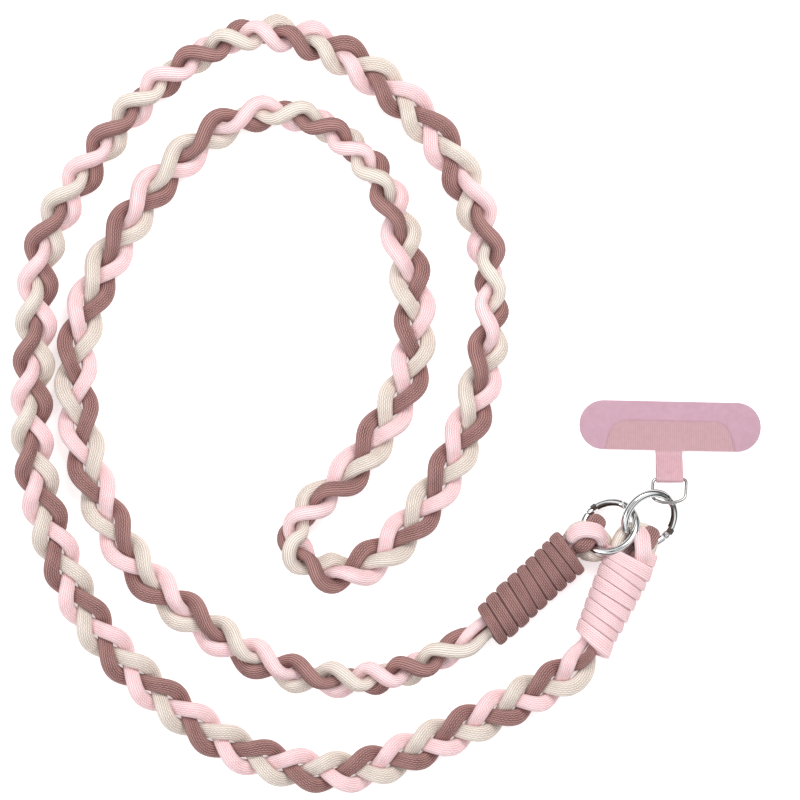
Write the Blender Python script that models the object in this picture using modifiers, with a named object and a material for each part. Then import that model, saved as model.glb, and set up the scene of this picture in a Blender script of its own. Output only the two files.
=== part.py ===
"""Phone crossbody strap: three cords plaited flat, looped over two spring-gate rings at their ends and
bound there with whippings, and a cloth tether tab that hangs on a D-ring. It lies flat: +Z is up, the
plan is seen from above with +X to the right, and the origin is below the middle of the whole strap."""

import math

import bmesh
import bpy
from mathutils import Euler, Matrix, Vector

MM = 0.001
UP = Vector((0, 0, 1))
TURN = 2 * math.pi

# All sizes below are millimetres. Clearance is the gap left between meshes that touch.
CLEARANCE = 0.3
PLAN_CENTRE = (129.1, 131.9)

# The plait: three soft cords, each flattened where it crosses another.
CORD_WIDTH = 4.8
CORD_THICKNESS = 3.0
PLAIT_HALF_SPREAD = 4.35
PLAIT_HALF_RISE = 2.9
EDGE_FULLNESS = -0.05
DIVE_SQUEEZE_WIDTH = 0.15
DIVE_SQUEEZE_THICKNESS = 0.1
DIVE_ROLL = math.radians(20)
CORD_SIDES = 5
STEPS_PER_WAVE = 8
CROSSING_ORDER = {"cord_cream": 0, "cord_mauve": 1, "cord_pink": 2}

# The way the plait lies, as points chosen by hand from its mauve whipping round to its pink one.
ROUTE = (
    (162.0, 57.7), (146.7, 48.3), (132.5, 42.3), (116.0, 40.0), (99.5, 41.8), (84.0, 47.6), (69.8, 56.7),
    (56.2, 66.9), (44.8, 78.8), (36.4, 92.7), (30.4, 108.0), (26.6, 124.0), (25.2, 140.8), (27.0, 157.3),
    (32.3, 172.7), (49.3, 201.6), (60.7, 213.6), (73.4, 223.8), (89.0, 229.0), (105.3, 226.0),
    (118.3, 216.7), (128.7, 203.3), (137.2, 171.2), (138.3, 154.7), (135.0, 138.2), (117.5, 110.2),
    (105.0, 99.2), (97.0, 86.5), (108.0, 76.0), (124.2, 79.8), (146.2, 104.5), (159.2, 135.0),
    (163.7, 168.0), (157.2, 200.7), (139.5, 228.3), (113.5, 248.7), (97.5, 254.8), (81.5, 255.0),
    (53.2, 238.7), (31.3, 213.5), (14.9, 184.8), (11.7, 151.9), (10.8, 118.7), (17.8, 86.5), (32.3, 56.5),
    (55.7, 32.8), (83.2, 14.8), (115.8, 9.4), (147.0, 20.6), (177.0, 35.3), (189.5, 42.2), (196.8, 51.6),
)

# How the plait turns about its own line: share of its length, crossings made so far, roll in degrees.
PLAIT_TABLE = (
    (0.000, -0.5, 85), (0.007, -0.3, 88), (0.043, 3.0, 112), (0.114, 9.0, 165), (0.183, 15.0, 195),
    (0.218, 18.0, 215), (0.272, 22.5, 262), (0.310, 26.3, 300), (0.335, 28.5, 345), (0.384, 33.0, 372),
    (0.412, 35.3, 440), (0.453, 39.0, 525), (0.500, 43.3, 560), (0.519, 45.0, 595), (0.540, 46.9, 650),
    (0.584, 51.0, 718), (0.615, 53.9, 750), (0.645, 57.0, 800), (0.680, 60.2, 828), (0.712, 63.0, 845),
    (0.778, 69.0, 872), (0.839, 75.0, 900), (0.905, 81.2, 903), (0.968, 87.6, 905), (0.992, 90.1, 905),
    (1.000, 90.5, 905),
)
CROSSINGS, ROLL = 1, 2
PLAIT_LIFT = 0.5
PLAIT_GATHER = 9.0
GATHER_STEPS = 5
GATHER_SPACING = 2.3
PLAIT_SETTLE = 16.0

# The whippings: a wrapping cord wound round the three cords between the plait and the ring.
WRAP_SIDES = 6
WRAP_STEPS = 9
CORE_STEPS = 9
CORE_RADIUS = 2.4
CORE_CORD = 3.0
MOUTH_CORD = 2.4
LOOP_CORD = 3.3
TAIL_DEPTH = 3.5
PACK_DEPTH = 5.0
CORE_DEPTH = 10.0
MOUTH_ROLL = {"mauve": 0, "pink": 900}
WHIPS = {
    "mauve": {"mouth": (190.5, 84.7), "faces": 43, "mouth_height": 8.3, "mouth_radius": 8.1,
              "foot_radius": 7.7, "pack_radius": 2.75, "cord": 3.55, "pitch": 3.9, "turns": 9, "slant": 4},
    "pink": {"mouth": (208.7, 78.0), "faces": 73, "mouth_height": 8.8, "mouth_radius": 8.7,
             "foot_radius": 7.4, "pack_radius": 3.1, "cord": 3.25, "pitch": 3.6, "turns": 7, "slant": 12},
}

# Where each cord lies round a whipping's line, as angles from its left side seen toward the ring: at the
# plait, in the mouth, and its tucked tail. The loop between the last two is forward, left and up.
LOOP_SPACING = 2.6
LOOP_SWELL = 3.0
LOOPS = {
    "mauve": {
        "cord_pink": {"foot": 30, "stands": -120, "tail": 60, "loop": (
            (2.2, -2.8, -4.2), (4.8, -4.6, -4.4), (7.2, -6.2, -1.2), (9.4, -5.6, 2.8), (9.4, -2.2, 6.3),
            (6.2, 1.6, 6.8), (2.8, 2.6, 4.9))},
        "cord_mauve": {"foot": 270, "stands": 120, "tail": 300, "loop": (
            (2.4, -2.1, 4.0), (4.9, -2.1, 4.6), (8.4, -0.8, 2.8), (11.8, 0.6, 2.2), (14.0, 0.6, -0.8),
            (13.2, -0.2, -4.2), (10.2, -1.0, -6.1), (6.6, -0.8, -6.4), (3.0, 0.8, -5.2))},
        "cord_cream": {"foot": 150, "stands": 0, "tail": 180, "loop": (
            (2.2, 4.5, 0.2), (5.4, 5.2, 0.8), (8.6, 3.4, 0.8), (10.4, 0.6, -1.5), (10.2, -2.2, -2.2),
            (10.6, -5.2, -2.8), (9.2, -8.0, -4.0), (6.2, -9.3, -4.2), (3.6, -8.2, -2.2), (2.2, -6.0, -0.4))},
    },
    "pink": {
        "cord_pink": {"foot": 0, "stands": 90, "tail": 330, "loop": (
            (2.8, -1.6, 4.6), (6.2, -2.4, 4.0), (9.2, -2.4, 3.0), (11.6, -2.0, 0.8), (12.0, -1.6, -2.2),
            (9.8, -1.2, -5.3), (6.4, 0.4, -5.2), (2.8, 2.6, -3.2))},
        "cord_mauve": {"foot": 120, "stands": 150, "tail": 270, "loop": (
            (3.0, -4.4, 1.4), (6.4, -5.2, 0.6), (9.6, -5.6, 0.2), (12.2, -5.4, -1.2), (13.0, -4.8, -4.0),
            (11.0, -4.4, -6.8), (7.4, -4.2, -7.1), (3.4, -1.8, -6.4))},
        "cord_cream": {"foot": 240, "stands": 210, "tail": 30, "loop": (
            (2.8, -5.2, -2.5), (6.0, -7.8, -2.2), (9.6, -9.2, -1.2), (13.6, -9.0, -0.8), (16.7, -6.2, -2.6),
            (16.4, -1.4, -3.6), (14.8, 2.4, -2.5), (12.6, 5.0, -1.2), (9.4, 6.2, -0.8), (6.2, 6.2, -0.6),
            (3.0, 4.9, 0.6))},
    },
}

# The spring-gate rings: middle, the way each one leans up, and where its gate is hinged.
RING_RADIUS = 9.2
RING_WIRE = 2.7
RING_SEGMENTS = 32
RING_SIDES = 6
GATE_SPAN = 77
GATE_GAP = 0.3
GATE_HINGE_GAP = 0.6
GATE_PIN_INSET = 0.9
CUTTER_REACH = 4.0
RINGS = {
    "a": {"middle": (203.0, 91.0, 8.6), "rises_to": -60, "lean": 32, "hinge": 289, "gate_way": -1},
    "b": {"middle": (216.5, 93.7, 8.5), "rises_to": 140, "lean": 33, "hinge": 266, "gate_way": 1},
}

# The tether tab: a cloth pad with a bonded patch, and a tongue folded round the bar of a D-ring.
PAD_LENGTH = 60.6
PAD_DEPTH = 16.4
PAD_THICKNESS = 0.7
PAD_END_FLAT = 0.4
PAD_CORNER = (PAD_DEPTH - PAD_END_FLAT) / 2
TAB_TURN = math.radians(-1.2)
PATCH_FOOT = 43.2
PATCH_HEAD = 38.0
PATCH_DEPTH = 9.8
PATCH_CORNER = 6.0
CLOTH_THICKNESS = 0.6
TONGUE_WIDTH = 8.9
TONGUE_BEND = 1.0
TABLE_GAP = 0.05
D_WIRE = 1.1
D_WIDTH = 11.2
D_SIDE = 5.4
D_BOW = 3.2
D_CORNER = 1.3
D_PITCH = math.radians(25)
D_ROLL = math.radians(8.5)

# How the tab hangs: a ring's wire is drawn into the D-ring's foot at this angle round the ring and this
# far along the foot, and the pad lies this far beyond the D-ring's bar and to its side.
HUNG_ON = "b"
HUNG_AT = 4.5
HUNG_ASIDE = -0.87
TONGUE_REACH = 9.5
PAD_ASIDE = 0.4


def material(name, colour, roughness, metallic=0.0):
    made = bpy.data.materials.new(name)
    made.use_nodes = True
    shader = made.node_tree.nodes["Principled BSDF"]
    shader.inputs["Base Color"].default_value = (*colour, 1)
    shader.inputs["Roughness"].default_value = roughness
    shader.inputs["Metallic"].default_value = metallic
    return made


def in_plan(point, height=0.0):
    """A plan point, measured from the corner of the sheet, as a place about the strap's own origin."""
    return Vector((point[0] - PLAN_CENTRE[0], point[1] - PLAN_CENTRE[1], height))


def add_mesh(name, shape, finish, collection):
    """Turns a bmesh in millimetres into an object in metres with its own material."""
    bmesh.ops.scale(shape, vec=(MM, MM, MM), verts=shape.verts)
    bmesh.ops.recalc_face_normals(shape, faces=shape.faces)
    data = bpy.data.meshes.new(name)
    shape.to_mesh(data)
    shape.free()
    data.shade_smooth()
    data.set_sharp_from_angle(angle=math.radians(50))
    data.materials.append(finish)
    made = bpy.data.objects.new(name, data)
    collection.objects.link(made)
    return made


def smooth_line(points, spacing):
    """Evenly spaced points on the centripetal Catmull-Rom curve through the given points."""
    ends = [points[0] * 2 - points[1], *points, points[-1] * 2 - points[-2]]
    line = []
    for first, second, third, fourth in zip(ends, ends[1:], ends[2:], ends[3:]):
        knots = [0.0]
        for here, there in ((first, second), (second, third), (third, fourth)):
            knots.append(knots[-1] + math.sqrt((there - here).length))
        pieces = max(2, round((third - second).length / spacing) * 4)
        for piece in range(pieces):
            at = knots[1] + (knots[2] - knots[1]) * piece / pieces

            def between(low, high, start, end):
                return low + (high - low) * ((at - start) / (end - start))

            near = between(first, second, knots[0], knots[1])
            middle = between(second, third, knots[1], knots[2])
            far = between(third, fourth, knots[2], knots[3])
            left = between(near, middle, knots[0], knots[2])
            right = between(middle, far, knots[1], knots[3])
            line.append(between(left, right, knots[1], knots[2]))
    line.append(points[-1])
    return line


class Path:
    """A dense line that can be read at any distance along it."""

    def __init__(self, points):
        self.points = points
        self.marks = [0.0]
        for here, there in zip(points, points[1:]):
            self.marks.append(self.marks[-1] + (there - here).length)
        self.length = self.marks[-1]

    def at(self, distance):
        distance = min(max(distance, 0.0), self.length)
        low, high = 0, len(self.marks) - 1
        while high - low > 1:
            middle = (low + high) // 2
            if self.marks[middle] <= distance:
                low = middle
            else:
                high = middle
        share = (distance - self.marks[low]) / max(self.marks[high] - self.marks[low], 1e-9)
        return self.points[low].lerp(self.points[high], share)

    def heading(self, distance, reach=1.5):
        return (self.at(distance + reach) - self.at(distance - reach)).normalized()


def table_value(share, column):
    """A value of the plait's table between its rows, eased so that no row shows as a kink."""
    rows = PLAIT_TABLE
    slopes = [(b[column] - a[column]) / (b[0] - a[0]) for a, b in zip(rows, rows[1:])]
    for index, (low, high) in enumerate(zip(rows, rows[1:])):
        if share <= high[0] or index == len(rows) - 2:
            break
    before = slopes[index] if index == 0 else harmonic(slopes[index - 1], slopes[index])
    after = slopes[index] if index == len(slopes) - 1 else harmonic(slopes[index], slopes[index + 1])
    width = high[0] - low[0]
    t = (share - low[0]) / width
    return (
        low[column] * (1 + 2 * t) * (1 - t) ** 2
        + before * width * t * (1 - t) ** 2
        + high[column] * t * t * (3 - 2 * t)
        + after * width * t * t * (t - 1)
    )


def harmonic(one, other):
    return 0.0 if one * other <= 0 else 2 * one * other / (one + other)


def share_at_crossing(crossing):
    """The share of the plait's length at which this many crossings have been made."""
    low, high = 0.0, 1.0
    for _ in range(40):
        middle = (low + high) / 2
        if table_value(middle, CROSSINGS) < crossing:
            low = middle
        else:
            high = middle
    return (low + high) / 2


def ease(value):
    value = min(max(value, 0.0), 1.0)
    return value * value * (3 - 2 * value)


def resting_height(roll):
    """How high the plait's line lies so that the plait, turned by this roll, just meets the table."""
    across = PLAIT_HALF_SPREAD * (1 - EDGE_FULLNESS) + CORD_WIDTH / 2
    through = PLAIT_HALF_RISE + CORD_THICKNESS / 2
    return math.hypot(across * math.sin(roll), through * math.cos(roll)) + PLAIT_LIFT


class Strap:
    """The strap's line, with the whipping at each end and the frame of left and up all along it."""

    def __init__(self):
        mauve, pink = WHIPS["mauve"], WHIPS["pink"]
        plan = [in_plan(mauve["mouth"]), *(in_plan(point) for point in ROUTE), in_plan(pink["mouth"])]
        level = Path(smooth_line(plan, 2.0))
        foot = min(range(len(level.points)), key=lambda i: (level.points[i] - plan[1]).length)
        end = min(range(len(level.points)), key=lambda i: (level.points[i] - plan[-2]).length)
        start, stop = level.marks[foot], level.marks[end]
        raised = []
        for point, mark in zip(level.points, level.marks):
            share = min(max((mark - start) / (stop - start), 0.0), 1.0)
            height = resting_height(math.radians(table_value(share, ROLL)))
            for whip, away in ((mauve, start - mark), (pink, mark - stop)):
                length = start if whip is mauve else level.length - stop
                lift = ease((away + PLAIT_SETTLE) / PLAIT_SETTLE)
                axis = whip["foot_radius"] + (whip["mouth_height"] - whip["foot_radius"]) * ease(
                    away / length
                )
                height = height * (1 - lift) + axis * lift
            raised.append(point + UP * height)
        self.path = Path(raised)
        self.start = self.path.marks[foot]
        self.stop = self.path.marks[end]

    def frame(self, distance):
        ahead = self.path.heading(distance)
        left = UP.cross(ahead).normalized()
        return self.path.at(distance), ahead, left, ahead.cross(left)

    def mouth(self, colour):
        """The middle of a whipping's open end, with the ways forward to the ring and left."""
        place = self.path.at(0.0 if colour == "mauve" else self.path.length)
        facing = math.radians(WHIPS[colour]["faces"])
        ahead = Vector((math.cos(facing), math.sin(facing), 0))
        return place, ahead, UP.cross(ahead)


def plait_offset(cord, crossing):
    """How far a cord lies across and above the plait's line, its phase, and how its section is turned."""
    phase = TURN * (0.25 + (crossing - CROSSING_ORDER[cord]) / 3)
    across = PLAIT_HALF_SPREAD * (math.sin(phase) + EDGE_FULLNESS * math.sin(3 * phase))
    above = -PLAIT_HALF_RISE * math.sin(2 * phase)
    turn = DIVE_ROLL * math.copysign(abs(math.cos(phase)) ** 3, math.cos(phase))
    return across, above, phase, turn


def core_place(cord, colour, depth, mouth_share):
    """The angle and radius of a standing cord inside a whipping, depth counted from its mouth."""
    loop = LOOPS[colour][cord]
    turned = loop["foot"] + (loop["stands"] - loop["foot"]) * mouth_share
    angle = math.radians(turned if colour == "pink" else 180 - turned)
    opening = 1 - ease((depth - PACK_DEPTH) / (CORE_DEPTH - PACK_DEPTH))
    radius = CORE_RADIUS + (WHIPS[colour]["pack_radius"] - CORE_RADIUS) * opening
    cord_size = CORE_CORD + (MOUTH_CORD - CORE_CORD) * opening
    return angle, radius, cord_size / 2


def cord_stations(strap, cord):
    """The sections of one cord from tail to tail: middle, wide way, thin way, half width, half thickness."""
    stations = []

    def inside(distance):
        colour = "mauve" if distance < strap.start else "pink"
        place, ahead, left, up = strap.frame(distance)
        span = strap.start if colour == "mauve" else strap.path.length - strap.stop
        depth = distance if colour == "mauve" else strap.path.length - distance
        angle, radius, half = core_place(cord, colour, depth, 1 - ease(depth / span))
        roll = math.radians(PLAIT_TABLE[0 if colour == "mauve" else -1][ROLL])
        rest = math.radians(MOUTH_ROLL[colour])
        roll = rest + (roll - rest) * ease(depth / span)
        centre = place + left * radius * math.cos(angle) + up * radius * math.sin(angle)
        thin = up * math.cos(roll) - left * math.sin(roll)
        return centre, ahead, thin, half, half

    def plaited(distance, crossing):
        place, ahead, left, up = strap.frame(distance)
        share = (distance - strap.start) / (strap.stop - strap.start)
        across, above, phase, turn = plait_offset(cord, crossing)
        roll = math.radians(table_value(share, ROLL))
        side = left * math.cos(roll) + up * math.sin(roll)
        top = up * math.cos(roll) - left * math.sin(roll)
        squeeze = math.cos(phase) ** 2
        wide = CORD_WIDTH / 2 * (1 - DIVE_SQUEEZE_WIDTH * squeeze)
        thick = CORD_THICKNESS / 2 * (1 - DIVE_SQUEEZE_THICKNESS * squeeze)
        centre = place + side * across + top * above
        thin = top * math.cos(turn) + side * math.sin(turn)
        gap = min(distance - strap.start, strap.stop - distance)
        if gap < PLAIT_GATHER:
            weight = ease(gap / PLAIT_GATHER)
            colour = "mauve" if share < 0.5 else "pink"
            angle, radius, half = core_place(cord, colour, CORE_DEPTH, 0.0)
            core = place + left * radius * math.cos(angle) + up * radius * math.sin(angle)
            centre = core.lerp(centre, weight)
            wide = half + (wide - half) * weight
            thick = half + (thick - half) * weight
        return centre, ahead, thin, wide, thick

    def loop(colour):
        """The bight over the ring, from the standing cord in the mouth round to the tucked tail."""
        place, ahead, left = strap.mouth(colour)
        plan = LOOPS[colour][cord]
        pack = WHIPS[colour]["pack_radius"]

        def in_mouth(degrees, forward):
            angle = math.radians(degrees)
            return (
                place + ahead * forward + left * pack * math.cos(angle) + UP * pack * math.sin(angle)
            )

        points = [in_mouth(plan["stands"], 0.0)]
        for forward, leftward, upward in plan["loop"]:
            points.append(place + ahead * forward + left * leftward + UP * upward)
        points += [in_mouth(plan["tail"], 0.0), in_mouth(plan["tail"], -TAIL_DEPTH)]
        line = Path(smooth_line(points, 2.0))
        count = round(line.length / LOOP_SPACING)
        made = []
        for step in range(1, count + 1):
            distance = line.length * step / count
            swell = ease(min(distance, line.length - TAIL_DEPTH - distance) / LOOP_SWELL)
            half = (MOUTH_CORD + (LOOP_CORD - MOUTH_CORD) * swell) / 2
            made.append((line.at(distance), line.heading(distance, 0.8), None, half, half))
        return made

    for centre, ahead, _, wide, thick in reversed(loop("mauve")):
        stations.append((centre, -ahead, None, wide, thick))
    for step in range(CORE_STEPS):
        stations.append(inside(strap.start * step / CORE_STEPS))
    first, last = PLAIT_TABLE[0][CROSSINGS], PLAIT_TABLE[-1][CROSSINGS]
    step_size = 3 / STEPS_PER_WAVE
    own = CROSSING_ORDER[cord]
    span = strap.stop - strap.start
    gathers = [GATHER_SPACING * (step + 1) for step in range(GATHER_STEPS)]
    for gap in gathers:
        stations.append(plaited(strap.start + gap, table_value(gap / span, CROSSINGS)))
    for step in range(int((first - own) / step_size) - 1, int((last - own) / step_size) + 1):
        crossing = own + step * step_size
        distance = span * share_at_crossing(crossing)
        if gathers[-1] + GATHER_SPACING < distance < span - gathers[-1] - GATHER_SPACING:
            stations.append(plaited(strap.start + distance, crossing))
    for gap in reversed(gathers):
        stations.append(plaited(strap.stop - gap, table_value(1 - gap / span, CROSSINGS)))
    for step in range(1, CORE_STEPS + 1):
        stations.append(inside(strap.stop + (strap.path.length - strap.stop) * step / CORE_STEPS))
    stations += loop("pink")
    return stations


def follow_own_line(stations):
    """Turns every section square to the cord's own line, which winds about the plait's."""
    centres = [station[0] for station in stations]
    ends = [centres[0] * 2 - centres[1], *centres, centres[-1] * 2 - centres[-2]]
    turned = []
    for station, before, after in zip(stations, ends, ends[2:]):
        turned.append((station[0], (after - before).normalized(), *station[2:]))
    return turned


def carry_thin_way(stations):
    """Gives the loops' sections, which are round, the turn of their neighbour so that none twists."""
    known = [index for index, station in enumerate(stations) if station[2] is not None]
    first, last = known[0], known[-1]
    for order, step in ((range(first - 1, -1, -1), 1), (range(last + 1, len(stations)), -1)):
        for index in order:
            centre, ahead, _, wide, thick = stations[index]
            _, old_ahead, thin, _, _ = stations[index + step]
            turned = old_ahead.rotation_difference(ahead) @ thin
            stations[index] = (centre, ahead, turned, wide, thick)
    return stations


def loft(stations, sides):
    """A closed skin through sections that change from round to flat, which no curve bevel follows."""
    shape = bmesh.new()
    rings = []
    for centre, ahead, thin, wide, thick in stations:
        across = thin.cross(ahead).normalized()
        through = ahead.cross(across).normalized()
        ring = []
        for side in range(sides):
            angle = TURN * (side + 0.25) / sides
            point = centre + across * wide * math.cos(angle) + through * thick * math.sin(angle)
            ring.append(shape.verts.new(point))
        rings.append(ring)
    for here, there in zip(rings, rings[1:]):
        for side in range(sides):
            after = (side + 1) % sides
            shape.faces.new((here[side], here[after], there[after], there[side]))
    shape.faces.new(rings[0])
    shape.faces.new(rings[-1])
    return shape


def whipping_stations(strap, colour):
    """The wrapping cord: a coil, slanted a little, whose radius grows from the plait to the mouth. It
    climbs over the top from the ring-facing right to the left."""
    whip = WHIPS[colour]
    steps = whip["turns"] * WRAP_STEPS
    span = whip["turns"] * whip["pitch"]
    back = -1 if colour == "mauve" else 1
    slant = math.tan(math.radians(whip["slant"]))
    centres = []
    for step in range(steps + 1):
        share = step / steps
        depth = whip["cord"] / 2 + span * (1 - share)
        place, ahead, left, up = strap.frame(depth if colour == "mauve" else strap.path.length - depth)
        forward, leftward = ahead * back, left * back
        radius = whip["foot_radius"] + (whip["mouth_radius"] - whip["foot_radius"]) * ease(share)
        radius -= whip["cord"] / 2
        angle = math.pi - TURN * step / WRAP_STEPS
        out = leftward * math.cos(angle) + up * math.sin(angle)
        lean = forward * (slant * radius * math.cos(angle))
        centres.append((place + out * radius + lean, None, out, whip["cord"] / 2, whip["cord"] / 2))
    return follow_own_line(centres)


def ring_frame(ring):
    """Ring-to-strap matrix: its own Y leans up, and Z is the ring's axis."""
    toward = math.radians(ring["rises_to"])
    lean = math.radians(ring["lean"])
    rising = Vector((math.cos(toward) * math.cos(lean), math.sin(toward) * math.cos(lean), math.sin(lean)))
    level = Vector((math.sin(toward), -math.cos(toward), 0))
    normal = level.cross(rising)
    turn = Matrix((level, rising, normal)).transposed().to_4x4()
    middle = in_plan(ring["middle"], ring["middle"][2])
    return Matrix.Translation(middle * MM) @ turn


def on_ring(degrees, radius=RING_RADIUS):
    angle = math.radians(degrees)
    return Vector((radius * math.cos(angle), radius * math.sin(angle), 0))


def gate_wedge(name, ring, hinge_gap, nose_gap, collection):
    """A cutter that holds the gate's stretch of the ring. Its nose plane is square to the line from the
    hinge, so that the gate's nose slides past the ring's end as it swings in."""
    way = ring["gate_way"]
    pin_angle = ring["hinge"]
    arc = math.degrees((GATE_PIN_INSET + hinge_gap) / RING_RADIUS)
    end_angle = pin_angle - way * arc
    nose_angle = pin_angle + way * GATE_SPAN
    pin = on_ring(pin_angle)
    nose = on_ring(nose_angle)
    chord = (nose - pin).normalized()
    nose = nose + chord * nose_gap
    square = Vector((-chord.y, chord.x, 0))
    if square.dot(nose) < 0:
        square = -square
    corners = [
        on_ring(end_angle, RING_RADIUS - CUTTER_REACH),
        on_ring(end_angle, RING_RADIUS + CUTTER_REACH),
        on_ring(pin_angle + way * GATE_SPAN * 0.5, RING_RADIUS * 1.9),
        nose + square * CUTTER_REACH * 1.4,
        nose - square * CUTTER_REACH,
    ]
    shape = bmesh.new()
    face = shape.faces.new([shape.verts.new(corner - UP * RING_WIRE) for corner in corners])
    grown = bmesh.ops.extrude_face_region(shape, geom=[face])
    lifted = [item for item in grown["geom"] if isinstance(item, bmesh.types.BMVert)]
    bmesh.ops.translate(shape, vec=UP * 2 * RING_WIRE, verts=lifted)
    cutter = add_mesh(name, shape, bpy.data.materials["polished_steel"], collection)
    cutter.hide_render = True
    cutter.display_type = "WIRE"
    cutter.matrix_world = ring_frame(ring)
    return cutter


def cut(piece, cutter, operation):
    modifier = piece.modifiers.new(cutter.name, "BOOLEAN")
    modifier.operation = operation
    modifier.object = cutter


def make_ring(letter, finish, collection, cutters):
    ring = RINGS[letter]
    for name, operation, hinge_gap, nose_gap in (
        ("ring_" + letter, "DIFFERENCE", GATE_HINGE_GAP, GATE_GAP),
        ("gate_" + letter, "INTERSECT", 0.0, 0.0),
    ):
        bpy.ops.mesh.primitive_torus_add(
            major_segments=RING_SEGMENTS,
            minor_segments=RING_SIDES,
            major_radius=RING_RADIUS * MM,
            minor_radius=RING_WIRE / 2 * MM,
        )
        piece = bpy.context.object
        piece.name = name
        piece.data.name = name
        for owner in list(piece.users_collection):
            owner.objects.unlink(piece)
        collection.objects.link(piece)
        piece.data.materials.append(finish)
        piece.data.shade_smooth()
        piece.matrix_world = ring_frame(ring)
        wedge = gate_wedge("cutter_" + name, ring, hinge_gap, nose_gap, cutters)
        cut(piece, wedge, operation)
        if operation == "INTERSECT":
            pin = piece.matrix_world @ (on_ring(ring["hinge"]) * MM)
            shift = piece.matrix_world.inverted() @ pin
            piece.data.transform(Matrix.Translation(-shift))
            piece.matrix_world = piece.matrix_world @ Matrix.Translation(shift)


def d_ring_frame():
    """D-ring-to-strap turn and the middle of its bar, which lies where the ring's wire holds the foot."""
    turn = Euler((-D_PITCH, -D_ROLL, 0)).to_matrix()
    wire = ring_frame(RINGS[HUNG_ON]) @ (on_ring(HUNG_AT) * MM) / MM
    seat = D_SIDE + D_BOW - (D_WIRE + RING_WIRE) / 2 - CLEARANCE
    return turn, wire - turn @ Vector((HUNG_ASIDE, -seat, 0))


def pad_middle(height):
    """The middle of the pad's plan at a height, from the bar that its tongue goes round."""
    _, bar = d_ring_frame()
    return Vector((bar.x + PAD_ASIDE, bar.y + TONGUE_REACH + PAD_DEPTH / 2, height))


def rounded_corner(before, corner, after, radius, steps):
    """Points of the arc that rounds one corner of an outline."""
    inward, outward = (before - corner).normalized(), (after - corner).normalized()
    half = inward.angle(outward) / 2
    reach = radius / math.tan(half)
    middle = corner + (inward + outward).normalized() * (radius / math.sin(half))
    start, end = corner + inward * reach - middle, corner + outward * reach - middle
    sweep = start.angle(end)
    points = []
    for step in range(steps + 1):
        share = step / steps
        mixed = start * math.sin((1 - share) * sweep) + end * math.sin(share * sweep)
        points.append(middle + mixed / math.sin(sweep))
    return points


def plate(name, outline, low, high, finish, collection):
    """A flat cloth piece: a 2D curve outline, filled and extruded by half its thickness."""
    curve = bpy.data.curves.new(name, "CURVE")
    curve.dimensions = "2D"
    curve.fill_mode = "BOTH"
    curve.extrude = (high - low) / 2 * MM
    line = curve.splines.new("POLY")
    line.points.add(len(outline) - 1)
    for spot, point in zip(line.points, outline):
        spot.co = (point.x * MM, point.y * MM, 0, 1)
    line.use_cyclic_u = True
    curve.materials.append(finish)
    made = bpy.data.objects.new(name, curve)
    collection.objects.link(made)
    made.location = pad_middle((low + high) / 2) * MM
    made.rotation_euler.z = TAB_TURN
    return made


def pad_outline():
    half_length, half_depth = PAD_LENGTH / 2, PAD_DEPTH / 2
    box = [Vector((x * half_length, y * half_depth, 0)) for x, y in ((1, 1), (-1, 1), (-1, -1), (1, -1))]
    outline = []
    for index, corner in enumerate(box):
        outline += rounded_corner(box[index - 1], corner, box[(index + 1) % 4], PAD_CORNER, 6)
    return outline


def patch_outline():
    foot = -PAD_DEPTH / 2
    head = foot + PATCH_DEPTH
    box = [
        Vector((PATCH_HEAD / 2, head, 0)), Vector((-PATCH_HEAD / 2, head, 0)),
        Vector((-PATCH_FOOT / 2, foot, 0)), Vector((PATCH_FOOT / 2, foot, 0)),
    ]
    outline = rounded_corner(box[3], box[0], box[1], PATCH_CORNER, 4)
    outline += rounded_corner(box[0], box[1], box[2], PATCH_CORNER, 4)
    return outline + box[2:]


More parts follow.
